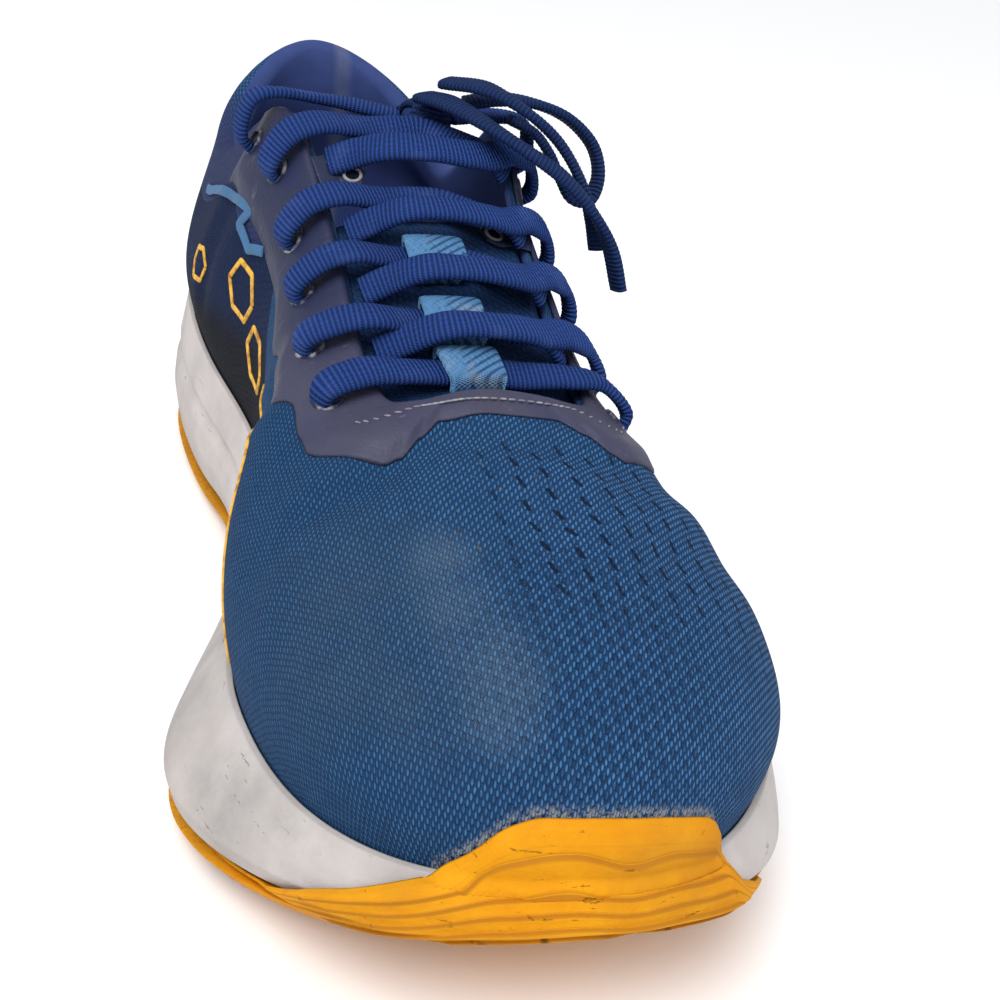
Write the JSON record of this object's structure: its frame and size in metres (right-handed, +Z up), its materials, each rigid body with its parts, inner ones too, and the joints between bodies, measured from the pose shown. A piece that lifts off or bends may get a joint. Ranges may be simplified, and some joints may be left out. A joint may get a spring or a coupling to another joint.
{
  "type": "running shoe",
  "caption": "Worn low-cut running shoe for the left foot, with a knitted upper, a film eyestay, tied flat laces, a thick foam midsole and a rubber outsole that wraps the toe",
  "frame": {"origin": "on the ground under the middle of the shoe, laces that hang free left out", "axes": "+Z up, toe towards -Y, heel towards +Y, the outer side of the foot towards +X"},
  "size_m": [0.1158, 0.291, 0.1203],
  "materials": {
    "outsole_rubber": "matte moulded rubber, scuffed",
    "midsole_foam": "moulded foam, dirty white",
    "insole_foam": "foam with a fabric top",
    "knit": "knitted mesh, dusty",
    "film": "thin welded film, satin",
    "lining": "padded textile",
    "webbing": "woven webbing",
    "lace": "flat woven lace"
  },
  "bodies": {
    "root": {"outsole": "outsole_rubber", "midsole": "midsole_foam", "insole": "insole_foam", "upper": "knit", "eyestay": "film", "tongue": "lining", "lace_keeper_1": "webbing", "lace_keeper_2": "webbing", "lace_keeper_3": "webbing", "lace_bar": "lace", "lace_crossing_1": "lace", "lace_crossing_2": "lace", "lace_crossing_3": "lace", "lace_crossing_4": "lace", "lace_top_outer": "lace", "lace_top_inner": "lace", "lace_knot": "lace", "lace_loop": "lace", "lace_end_front": "lace", "lace_end_back": "lace"}
  },
  "joints": []
}
